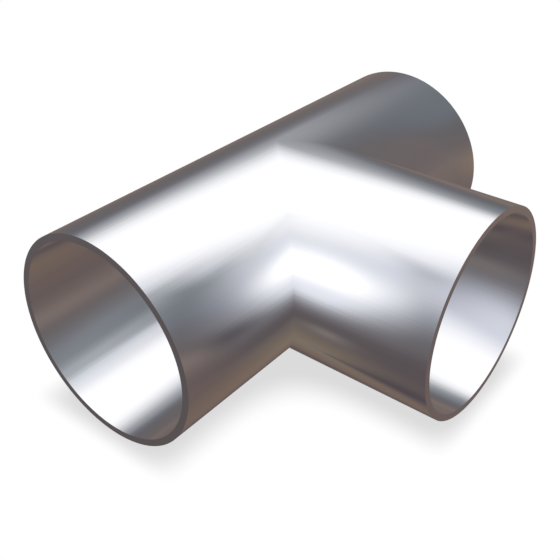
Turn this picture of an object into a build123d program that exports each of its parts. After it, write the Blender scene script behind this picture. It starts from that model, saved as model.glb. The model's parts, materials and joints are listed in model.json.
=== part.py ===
"""Equal tee for butt-welding into thin-walled stainless tube, drawn from one length of tube.

The run lies along X and the branch leaves it towards -Y, all three with the same outside
diameter and wall. The origin is where the two axes cross, and +Z is up with the tee lying
flat, so that its three tubes touch the floor along their lowest lines. Because run and
branch are equal, their skins meet in a sharp crease that follows two ellipses at 45 degrees
to both axes, and it fades out at the crown and at the underside, where the skins are
tangent. The three ends are cut square to take a butt weld. Sizes are in millimetres.
"""

import os

from build123d import *

# Tube that all three ends are made to match
tube_diameter = 60.3
wall = 2.0

# From the point where the axes cross to each square-cut end
run_centre_to_end = 70.0
branch_centre_to_end = 70.0

# Burr taken off the inner and outer rim of each end, just enough that it doesn't cut
edge_break = 0.05

outer_radius = tube_diameter / 2
bore_radius = outer_radius - wall

# Sketch planes through the crossing of the axes, square to the run and square to the branch.
# Circles of the run start on the branch side, so their seam line crosses the branch's mouth.
run_section = Plane(origin=(0, 0, 0), x_dir=(0, -1, 0), z_dir=(1, 0, 0))
branch_section = Plane.XZ


with BuildPart() as tee:
    # Skin: the run goes both ways from the crossing, the branch one way
    with BuildSketch(run_section):
        Circle(outer_radius)
    extrude(amount=run_centre_to_end, both=True)
    with BuildSketch(branch_section):
        Circle(outer_radius)
    extrude(amount=branch_centre_to_end)

    # Bore: the same two sweeps at the inside diameter, open at all three ends
    with BuildSketch(run_section):
        Circle(bore_radius)
    extrude(amount=run_centre_to_end, both=True, mode=Mode.SUBTRACT)
    with BuildSketch(branch_section):
        Circle(bore_radius)
    extrude(amount=branch_centre_to_end, mode=Mode.SUBTRACT)

    # Rims: the flat faces are the three end rings, and both circles of each are deburred
    end_rings = tee.faces().filter_by(GeomType.PLANE)
    chamfer(end_rings.edges(), edge_break)

tee.part.label = "tee"

os.makedirs("parts", exist_ok=True)
export_step(tee.part, "parts/tee.step")
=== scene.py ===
"""Looks of the equal tee: polished stainless steel on a white floor, with a pale studio round it.

Everything is in metres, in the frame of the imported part: the run lies along X, the branch
points to -Y, +Z is up and the origin is where the two axes cross.
"""

import json
import math

import bpy
from mathutils import Matrix, Vector


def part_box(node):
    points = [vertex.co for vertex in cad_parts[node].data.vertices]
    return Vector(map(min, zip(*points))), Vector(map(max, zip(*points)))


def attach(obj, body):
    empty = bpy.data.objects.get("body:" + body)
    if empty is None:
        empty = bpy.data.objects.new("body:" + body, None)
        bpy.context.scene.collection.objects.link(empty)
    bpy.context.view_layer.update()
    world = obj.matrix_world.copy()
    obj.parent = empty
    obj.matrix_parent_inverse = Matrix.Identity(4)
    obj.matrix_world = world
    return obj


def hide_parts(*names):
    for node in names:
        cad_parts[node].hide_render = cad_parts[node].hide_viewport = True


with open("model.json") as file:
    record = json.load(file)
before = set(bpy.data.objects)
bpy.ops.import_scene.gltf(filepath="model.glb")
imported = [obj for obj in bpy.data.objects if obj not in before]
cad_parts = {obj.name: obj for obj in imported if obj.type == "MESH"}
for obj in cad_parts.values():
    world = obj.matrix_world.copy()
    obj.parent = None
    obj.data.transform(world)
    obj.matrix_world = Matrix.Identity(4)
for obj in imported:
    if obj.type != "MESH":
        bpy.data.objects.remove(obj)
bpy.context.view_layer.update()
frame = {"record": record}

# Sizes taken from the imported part
low_corner, high_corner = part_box("tee")
mounts = {mount["name"]: mount for mount in frame["record"]["mounts"]}
outer_radius = high_corner.z
bore_radius = mounts["run_bore"]["dims"]["r_mm"] / 1000
run_length = high_corner.x
branch_length = -low_corner.y
floor_height = low_corner.z

# Burr taken off both rims of each end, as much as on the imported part
edge_break = 0.00005

# Fineness of the mesh: columns round each tube, and rows from the crease to its end
columns = 240
rows = 28

# Corners of faces share one point where they agree to this many steps a metre
steps_per_metre = 1e8

# How far the shading of the outer skin leans towards an open end, by the time it gets there.
# The angle was chosen by scores against the photograph.
rim_lean = math.radians(5)

# Share of red, green and blue light that the steel gives back, and how blurred it mirrors
steel_colour = (0.74, 0.74, 0.76)
steel_roughness = 0.04

# Draw lines left along each tube: width and depth of one, its width as a share of its length,
# and how ragged it is
draw_line_width = 0.0009
draw_line_depth = 0.000008
draw_line_shortening = 0.02
draw_line_detail = 2.0

# The photograph's frame and where its camera stood, fitted to the outlines in it. The azimuth
# counts from -Y towards +X, and pixels count from the top left corner.
image_size = 560
sensor_width = 36.0
camera_azimuth = math.radians(-51.92)
camera_elevation = math.radians(32.15)
camera_distance = 0.25415
nearest_seen = 0.01
focal_pixels = 830.1
optical_axis_pixel = (291.6, 252.6)
crossing_pixel = (276.91, 231.17)

# Floor: how far it reaches, past every view, and its paint where the camera doesn't look at it
floor_reach = 40 * run_length
floor_paint = (0.8, 0.8, 0.8, 1.0)

# Shade on the floor, with its numbers and the two softnesses below fitted to the photograph's.
# It lies a little to the far side of each tube. From a tube's axis it is full out to one
# distance and gone at the next, and the same from an open end.
shade_grey = 219
shade_shift = 0.08 * outer_radius
full_shade_beside = 0.57 * outer_radius
no_shade_beside = 0.97 * outer_radius
full_shade_beyond = 0.05 * outer_radius
no_shade_beyond = 0.29 * outer_radius

# How softly the shade is rounded at the corners of each end, and in the crotch
end_softness = 1.3
crotch_softness = 3.2


def linear(red, green, blue):
    """A colour in the usual 0 to 255 steps as linear light. Over 255 is brighter than white."""
    channels = []
    for value in (red, green, blue):
        share = value / 255
        channels.append(share / 12.92 if share <= 0.04045 else ((share + 0.055) / 1.055) ** 2.4)
    return (*channels, 1.0)


def unit(x, y, z):
    """A direction as a vector of length 1."""
    return Vector((x, y, z)).normalized()


def compass(azimuth, elevation):
    """Direction of an azimuth, from +Y towards +X, and an elevation, both in degrees."""
    turn, lift = math.radians(azimuth), math.radians(elevation)
    return Vector((math.sin(turn) * math.cos(lift), math.cos(turn) * math.cos(lift), math.sin(lift)))


class Nodes:
    """Short ways to add shader nodes to one tree and link them."""

    # Numbers of a mix node's first input, second input and result, by what it mixes
    mix_sockets = {"FLOAT": (2, 3, 0), "RGBA": (6, 7, 2)}

    def __init__(self, tree):
        self.tree = tree
        tree.nodes.clear()

    def add(self, kind, **settings):
        """Adds a node and sets its own settings."""
        node = self.tree.nodes.new(kind)
        for name, value in settings.items():
            setattr(node, name, value)
        return node

    def put(self, socket, value):
        """Links a socket, or sets it where the value is a plain number, vector or colour."""
        if isinstance(value, bpy.types.NodeSocket):
            self.tree.links.new(value, socket)
        else:
            socket.default_value = value

    def maths(self, operation, *values):
        """One step of arithmetic on sockets or plain numbers."""
        node = self.add("ShaderNodeMath", operation=operation)
        for socket, value in zip(node.inputs, values):
            self.put(socket, value)
        return node.outputs[0]

    def axes(self, vector):
        """The X, Y and Z of a vector."""
        node = self.add("ShaderNodeSeparateXYZ")
        self.put(node.inputs[0], vector)
        return node.outputs

    def mix(self, factor, first, second, kind="RGBA"):
        """The first value where the factor is 0, and the second where it is 1."""
        node = self.add("ShaderNodeMix", data_type=kind)
        first_socket, second_socket, result = self.mix_sockets[kind]
        self.put(node.inputs["Factor"], factor)
        self.put(node.inputs[first_socket], first)
        self.put(node.inputs[second_socket], second)
        return node.outputs[result]

    def ramp(self, factor, stops):
        """A colour ramp through (place, colour) stops."""
        node = self.add("ShaderNodeValToRGB")
        elements = node.color_ramp.elements
        while len(elements) < len(stops):
            elements.new(0.5)
        for element, (place, colour) in zip(elements, stops):
            element.position = place
            element.color = colour
        self.put(node.inputs["Fac"], factor)
        return node.outputs["Color"]

    def smooth_range(self, value, start, end):
        """0 up to the start and 1 from the end on, with a soft rise between them."""
        node = self.add("ShaderNodeMapRange", interpolation_type="SMOOTHSTEP")
        self.put(node.inputs["Value"], value)
        self.put(node.inputs["From Min"], start)
        self.put(node.inputs["From Max"], end)
        return node.outputs["Result"]

    def by_ray(self, seen, other):
        """One shader for what the camera sees straight on, and another for all other rays."""
        node = self.add("ShaderNodeMixShader")
        self.put(node.inputs[0], self.add("ShaderNodeLightPath").outputs["Is Camera Ray"])
        self.put(node.inputs[1], other)
        self.put(node.inputs[2], seen)
        return node.outputs[0]


# Mesh of the tee

class Skin:
    """Collects faces whose corners share points and carry their own shading direction."""

    def __init__(self):
        self.points = []
        self.places = {}
        self.faces = []
        self.directions = []

    def place(self, point):
        """Number of the point in the mesh, which is added if it isn't there yet."""
        key = tuple(round(value * steps_per_metre) for value in point)
        if key not in self.places:
            self.places[key] = len(self.points)
            self.points.append(tuple(point))
        return self.places[key]

    def face(self, corners):
        """Adds one face from (point, direction) corners, turned so that it looks along its directions."""
        first, second, third, fourth = (point for point, _ in corners)
        facing = (third - first).cross(fourth - second)
        outlook = sum((direction for _, direction in corners), Vector())
        if facing.dot(outlook) < 0:
            corners = corners[::-1]
        self.faces.append([self.place(point) for point, _ in corners])
        self.directions.extend(direction for _, direction in corners)

    def grid(self, lines):
        """Adds the faces between neighbouring lines of corners, the last line joined to the first."""
        for this, following in zip(lines, lines[1:] + lines[:1]):
            for row in range(len(this) - 1):
                self.face([this[row], this[row + 1], following[row + 1], following[row]])

    def mesh(self, name):
        """The collected faces as a mesh, shaded by their directions."""
        mesh = bpy.data.meshes.new(name)
        mesh.from_pydata(self.points, [], self.faces)
        mesh.polygons.foreach_set("use_smooth", [True] * len(mesh.polygons))
        mesh.normals_split_custom_set(self.directions)
        mesh.update()
        return mesh


def run_arm(side):
    """One half of the run, as a map from the angle from the crown, the distance along and the radius.

    The map gives the point there and the direction straight out from the tube's axis.
    """
    def at(angle, along, radius):
        radial = Vector((0, -math.sin(angle), math.cos(angle)))
        return Vector((side * along, 0, 0)) + radius * radial, radial
    return at


def branch_arm():
    """The same map for the branch."""
    def at(angle, along, radius):
        radial = Vector((math.sin(angle), 0, math.cos(angle)))
        return Vector((0, -along, 0)) + radius * radial, radial
    return at


def wall_lines(at, axis, crease_share, crease_direction, radius, length, inside):
    """Corner lines of a round wall, from the crease to the end, one for each column.

    The polish rounds the crease off to the eye: the shading turns evenly from the crease, where
    both tubes share one direction, to the round form at the end of the tube. Outside, it leans
    towards the open end on the way, as on a tube that is drawn in a little there.
    """
    lean = Vector() if inside else math.tan(rim_lean) * axis
    lines = []
    for column in range(columns):
        angle = 2 * math.pi * column / columns
        share = crease_share(angle)
        start = radius * share
        line = []
        for row in range(rows + 1):
            turned = row / rows
            point, radial = at(angle, start + (length - start) * turned, radius)
            crease = crease_direction(angle) if share > 0 else radial
            direction = crease.lerp(radial + lean, turned).normalized()
            line.append((point, -direction if inside else direction))
        lines.append(line)
    return lines


def end_lines(at, axis, length):
    """Corner lines over a cut end: the outer rim, the flat ring and the inner rim.

    The rims are so narrow that they shine as one with the ring, and share its direction.
    """
    rim = length - edge_break
    steps = [
        (outer_radius, rim),
        (outer_radius - edge_break, length),
        (bore_radius + edge_break, length),
        (bore_radius, rim),
    ]
    lines = []
    for column in range(columns):
        angle = 2 * math.pi * column / columns
        lines.append([(at(angle, along, radius)[0], axis) for radius, along in steps])
    return lines


def make_tee_mesh():
    """The whole tee as one closed skin, outside and inside.

    Each arm has its map, axis and length, how far out along it the crease lies at an angle, as a
    share of the radius, and the direction that both tubes share on the crease, which is halfway
    between straight out from the one axis and straight out from the other.
    """
    arms = []
    for side in (-1, 1):
        arms.append((
            run_arm(side),
            Vector((side, 0, 0)),
            run_length,
            lambda angle: max(math.sin(angle), 0.0),
            lambda angle, side=side: unit(side * math.sin(angle), -math.sin(angle), 2 * math.cos(angle)),
        ))
    arms.append((
        branch_arm(),
        Vector((0, -1, 0)),
        branch_length,
        lambda angle: abs(math.sin(angle)),
        lambda angle: unit(math.sin(angle), -abs(math.sin(angle)), 2 * math.cos(angle)),
    ))
    skin = Skin()
    for at, axis, length, crease_share, crease_direction in arms:
        rim = length - edge_break
        for radius, inside in ((outer_radius, False), (bore_radius, True)):
            skin.grid(wall_lines(at, axis, crease_share, crease_direction, radius, rim, inside))
        skin.grid(end_lines(at, axis, length))
    return skin.mesh("tee_body")


# Materials

def steel_material():
    """Polished stainless steel with faint draw lines along each tube."""
    material = bpy.data.materials.new("polished_steel")
    material.use_nodes = True
    nodes = Nodes(material.node_tree)
    place = nodes.add("ShaderNodeTexCoord").outputs["Object"]

    # Noise drawn out along X for the run and along Y for the branch
    draw_lines = []
    for long_axis in (0, 1):
        shares = [1, 1, 1]
        shares[long_axis] = draw_line_shortening
        shrink = nodes.add("ShaderNodeVectorMath", operation="MULTIPLY")
        nodes.put(shrink.inputs[0], place)
        nodes.put(shrink.inputs[1], shares)
        noise = nodes.add("ShaderNodeTexNoise")
        nodes.put(noise.inputs["Vector"], shrink.outputs[0])
        nodes.put(noise.inputs["Scale"], 1 / draw_line_width)
        nodes.put(noise.inputs["Detail"], draw_line_detail)
        draw_lines.append(noise.outputs["Fac"])

    # The branch is where the place lies further out along -Y than it lies to either side
    x, y, _ = nodes.axes(place)
    side = nodes.maths("ADD", y, nodes.maths("ABSOLUTE", x))
    on_branch = nodes.maths("LESS_THAN", side, 0.0)
    bump = nodes.add("ShaderNodeBump")
    nodes.put(bump.inputs["Distance"], draw_line_depth)
    nodes.put(bump.inputs["Height"], nodes.mix(on_branch, *draw_lines, kind="FLOAT"))

    surface = nodes.add("ShaderNodeBsdfPrincipled")
    nodes.put(surface.inputs["Base Color"], (*steel_colour, 1.0))
    nodes.put(surface.inputs["Metallic"], 1.0)
    nodes.put(surface.inputs["Roughness"], steel_roughness)
    nodes.put(surface.inputs["Normal"], bump.outputs["Normal"])
    output = nodes.add("ShaderNodeOutputMaterial")
    nodes.put(output.inputs["Surface"], surface.outputs["BSDF"])
    return material


def floor_material():
    """White floor, with the soft shade that gathers right under the tubes and at their ends."""
    material = bpy.data.materials.new("studio_floor")
    material.use_nodes = True
    nodes = Nodes(material.node_tree)
    x, y, _ = nodes.axes(nodes.add("ShaderNodeNewGeometry").outputs["Position"])
    east = nodes.maths("SUBTRACT", x, shade_shift)
    north = nodes.maths("SUBTRACT", y, shade_shift)
    south = nodes.maths("MULTIPLY", north, -1.0)

    def way(value, start, end):
        """0 where the value is at the start, 1 where it is at the end, and straight on beyond both."""
        return nodes.maths("DIVIDE", nodes.maths("SUBTRACT", value, start), end - start)

    def beside(across):
        """0 where the shade beside a tube is still full, and 1 where it is gone."""
        return way(across, full_shade_beside, no_shade_beside)

    def clear_of(across, along, length):
        """The same both beside one tube and beyond its end, rounded at the corners."""
        beyond = way(along, length + full_shade_beyond, length + no_shade_beyond)
        return nodes.maths("SMOOTH_MAX", beside(across), beyond, end_softness)

    run = clear_of(nodes.maths("ABSOLUTE", north), nodes.maths("ABSOLUTE", east), run_length)
    branch = clear_of(nodes.maths("ABSOLUTE", east), south, branch_length)
    branch = nodes.maths("MAXIMUM", branch, beside(north))
    clear_of_both = nodes.maths("SMOOTH_MIN", run, branch, crotch_softness)
    shade = nodes.smooth_range(clear_of_both, 1.0, 0.0)

    seen = nodes.add("ShaderNodeEmission")
    grey = linear(shade_grey, shade_grey, shade_grey)
    nodes.put(seen.inputs["Color"], nodes.mix(shade, (1.0, 1.0, 1.0, 1.0), grey))
    paint = nodes.add("ShaderNodeBsdfDiffuse")
    nodes.put(paint.inputs["Color"], floor_paint)
    output = nodes.add("ShaderNodeOutputMaterial")
    nodes.put(output.inputs["Surface"], nodes.by_ray(seen.outputs[0], paint.outputs[0]))
    return material


# Studio, in degrees: azimuths run from +Y towards +X, and elevations from -90, straight down, to 90

# What stands round the tee by elevation, on the side away from the window and on the window's
# side. The first colours here and in the patches were read off the photograph's steel, by the
# direction that it mirrors. Options written one by one were then scored against the photograph.
far_side = [
    (-90, (107, 106, 102)), (-86, (121, 110, 98)), (-70, (115, 99, 88)), (-50, (104, 91, 86)),
    (-35, (101, 89, 87)), (-22, (107, 96, 93)), (-12, (112, 102, 98)), (0, (102, 96, 96)),
    (8, (101, 97, 98)), (15, (98, 97, 101)), (30, (103, 109, 114)), (45, (111, 117, 121)),
    (55, (132, 138, 142)), (65, (176, 180, 184)), (80, (225, 228, 231)),
]
window_side = [
    (-90, (107, 106, 102)), (-86, (121, 110, 98)), (-70, (115, 103, 91)), (-55, (106, 97, 92)),
    (-40, (91, 84, 84)), (-30, (92, 86, 88)), (-18, (101, 97, 99)), (-8, (105, 103, 107)),
    (0, (113, 111, 115)), (10, (128, 129, 136)), (20, (145, 147, 156)), (30, (164, 166, 176)),
    (40, (183, 186, 195)), (50, (201, 204, 212)), (60, (215, 218, 225)), (75, (224, 226, 229)),
]

# Middle of the window's side, and the cosines of the turn from it where it begins and is alone
window_side_azimuth = -92
window_side_begins = -0.45
window_side_alone = 0.28

# Round card overhead: its middle, how far from it the card is even and where it has faded away
card_azimuth = 54
card_elevation = 68
card_even = 18
card_faded = 53
card_colour = (257, 257, 258)

# Soft patches of the room, each laid over the ones before it: name, azimuth, elevation,
# half width, half height, squareness, opacity, colour
patches = [
    ("low glow", 54, 22, 15, 9, 1.0, 0.38, (163, 165, 171)),
    ("left glow", 33, 25, 10, 7, 1.0, 0.2, (168, 169, 178)),
    ("far wall", 95, 27, 27, 14, 2.0, 0.9, (106, 112, 117)),
    ("corner glow", 143, 43, 9, 9, 1.0, 0.6, (187, 192, 197)),
    ("corner edge", 150, 25, 7, 16, 1.0, 0.4, (149, 154, 158)),
    ("upper glow", 131, 54, 11, 9, 2.0, 0.5, (232, 236, 242)),
    ("back glow", 156, 58, 8, 8, 1.0, 0.3, (232, 236, 242)),
    ("bright wall", -70, 34, 34, 22, 1.0, 0.5, (232, 236, 244)),
    ("window frame", -82, 14, 8, 32, 1.0, 0.36, (60, 60, 64)),
    ("frame top", -76, 57, 7, 12, 1.0, 0.28, (60, 60, 64)),
    ("window", -130, 32, 36, 25, 1.7, 1.0, (280, 280, 280)),
    ("sill", -130, 10, 30, 18, 1.0, 0.9, (228, 231, 238)),
    ("side wall", -46, -15, 28, 9, 1.0, 0.7, (117, 109, 106)),
    ("back corner", 178, -9, 18, 10, 1.0, 0.8, (80, 76, 80)),
    ("back door", 158, -13, 12, 9, 1.0, 0.6, (130, 116, 110)),
    ("warm corner", 118, -19, 16, 10, 1.0, 0.8, (134, 113, 100)),
    ("ground light", -123, -48, 14, 8, 1.0, 0.9, (126, 120, 116)),
    ("ground shade", -72, -51, 48, 14, 1.0, 0.7, (83, 76, 79)),
    ("ground dark", -38, -76, 50, 18, 1.0, 0.9, (74, 66, 74)),
    ("ground end", 0, -62, 16, 7, 1.0, 0.8, (78, 70, 76)),
    ("ground behind", 55, -52, 24, 10, 1.0, 0.8, (82, 73, 75)),
    ("near shade", -33, -42, 14, 14, 1.0, 0.3, (76, 70, 70)),
    ("back top", -176, 60, 14, 16, 1.0, 0.4, (193, 194, 196)),
    ("far rail", 72, 1, 14, 6, 1.0, 0.7, (128, 112, 104)),
]


def wall_colours(nodes, elevation, stops):
    """Colour of one side of the room, through its (elevation, colour) stops."""
    height = nodes.maths("MULTIPLY_ADD", elevation, 1 / 180, 0.5)
    return nodes.ramp(height, [((place + 90) / 180, linear(*colour)) for place, colour in stops])


def card_cover(nodes, look):
    """How much the card overhead covers in the direction of a look."""
    dot = nodes.add("ShaderNodeVectorMath", operation="DOT_PRODUCT")
    nodes.put(dot.inputs[0], look)
    nodes.put(dot.inputs[1], compass(card_azimuth, card_elevation))
    angle = nodes.maths("DEGREES", nodes.maths("ARCCOSINE", dot.outputs["Value"]))
    return nodes.smooth_range(angle, card_faded, card_even)


def patch_cover(nodes, azimuth, elevation, middle_azimuth, middle_elevation, width, height, squareness):
    """How much a soft patch covers: all in its middle, and 0.37 at its half width or half height."""
    across = nodes.maths("WRAP", nodes.maths("SUBTRACT", azimuth, middle_azimuth), 180, -180)
    across = nodes.maths("POWER", nodes.maths("DIVIDE", nodes.maths("ABSOLUTE", across), width), 2)
    above = nodes.maths("ABSOLUTE", nodes.maths("SUBTRACT", elevation, middle_elevation))
    above = nodes.maths("POWER", nodes.maths("DIVIDE", above, height), 2)
    spread = nodes.maths("POWER", nodes.maths("ADD", across, above), squareness)
    return nodes.maths("EXPONENT", nodes.maths("MULTIPLY", spread, -1.0))


def make_studio():
    """The world: a pale room for what the steel mirrors, and plain white behind the floor."""
    world = bpy.data.worlds.new("studio")
    world.use_nodes = True
    bpy.context.scene.world = world
    nodes = Nodes(world.node_tree)

    # Mirrored rays alone find the room. If it were sampled as a light too, the floor and the tee
    # would stand in its way.
    world.cycles.sampling_method = "NONE"

    look = nodes.add("ShaderNodeTexCoord").outputs["Generated"]
    east, north, up = nodes.axes(look)
    elevation = nodes.maths("DEGREES", nodes.maths("ARCSINE", up))
    azimuth = nodes.maths("DEGREES", nodes.maths("ARCTAN2", east, north))

    turn = nodes.maths("RADIANS", nodes.maths("SUBTRACT", azimuth, window_side_azimuth))
    towards_window = nodes.smooth_range(nodes.maths("COSINE", turn), window_side_begins, window_side_alone)
    sides = [wall_colours(nodes, elevation, stops) for stops in (far_side, window_side)]
    room = nodes.mix(towards_window, *sides)
    room = nodes.mix(card_cover(nodes, look), room, linear(*card_colour))
    for _, *shape, opacity, colour in patches:
        cover = patch_cover(nodes, azimuth, elevation, *shape)
        room = nodes.mix(nodes.maths("MULTIPLY", cover, opacity), room, linear(*colour))

    # The room's colours are as the steel shows them, so its strength makes up for what steel takes
    mirrored = nodes.add("ShaderNodeBackground")
    nodes.put(mirrored.inputs["Color"], room)
    nodes.put(mirrored.inputs["Strength"], 1 / steel_colour[0])
    backdrop = nodes.add("ShaderNodeBackground")
    nodes.put(backdrop.inputs["Color"], (1.0, 1.0, 1.0, 1.0))
    output = nodes.add("ShaderNodeOutputWorld")
    nodes.put(output.inputs["Surface"], nodes.by_ray(backdrop.outputs[0], mirrored.outputs[0]))


def make_floor():
    """A floor that reaches past every view, under the lowest line of the tee."""
    corners = []
    for x, y in ((-1, -1), (1, -1), (1, 1), (-1, 1)):
        corners.append((x * floor_reach, y * floor_reach, floor_height))
    mesh = bpy.data.meshes.new("floor")
    mesh.from_pydata(corners, [], [(0, 1, 2, 3)])
    mesh.materials.append(floor_material())
    floor = bpy.data.objects.new("floor", mesh)
    bpy.context.scene.collection.objects.link(floor)

    # The photographed steel doesn't mirror the white floor
    floor.visible_glossy = False


def make_camera():
    """The photograph's camera, placed so that the crossing of the axes falls on its pixel."""
    back = Vector((
        math.sin(camera_azimuth) * math.cos(camera_elevation),
        -math.cos(camera_azimuth) * math.cos(camera_elevation),
        math.sin(camera_elevation),
    ))
    right = Vector((math.cos(camera_azimuth), math.sin(camera_azimuth), 0))
    up = back.cross(right)
    offset_right = (crossing_pixel[0] - optical_axis_pixel[0]) / focal_pixels
    offset_up = (optical_axis_pixel[1] - crossing_pixel[1]) / focal_pixels
    position = camera_distance * (back - offset_right * right - offset_up * up)

    data = bpy.data.cameras.new("camera")
    data.sensor_width = sensor_width
    data.lens = focal_pixels / image_size * sensor_width
    data.shift_x = (image_size / 2 - optical_axis_pixel[0]) / image_size
    data.shift_y = (optical_axis_pixel[1] - image_size / 2) / image_size
    data.clip_start = nearest_seen
    camera = bpy.data.objects.new("camera", data)
    turn = Matrix((right, up, back)).transposed().to_4x4()
    camera.matrix_world = Matrix.Translation(position) @ turn
    bpy.context.scene.collection.objects.link(camera)
    bpy.context.scene.camera = camera


def make_tee():
    """The tee itself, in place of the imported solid."""
    tee = bpy.data.objects.new("tee_body", make_tee_mesh())
    bpy.context.scene.collection.objects.link(tee)
    tee.data.materials.append(steel_material())

    # The photographed steel doesn't mirror itself
    tee.visible_glossy = False
    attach(tee, "root")
    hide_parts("tee")


make_camera()
make_tee()
make_floor()
make_studio()
bpy.context.scene.view_settings.view_transform = "Standard"
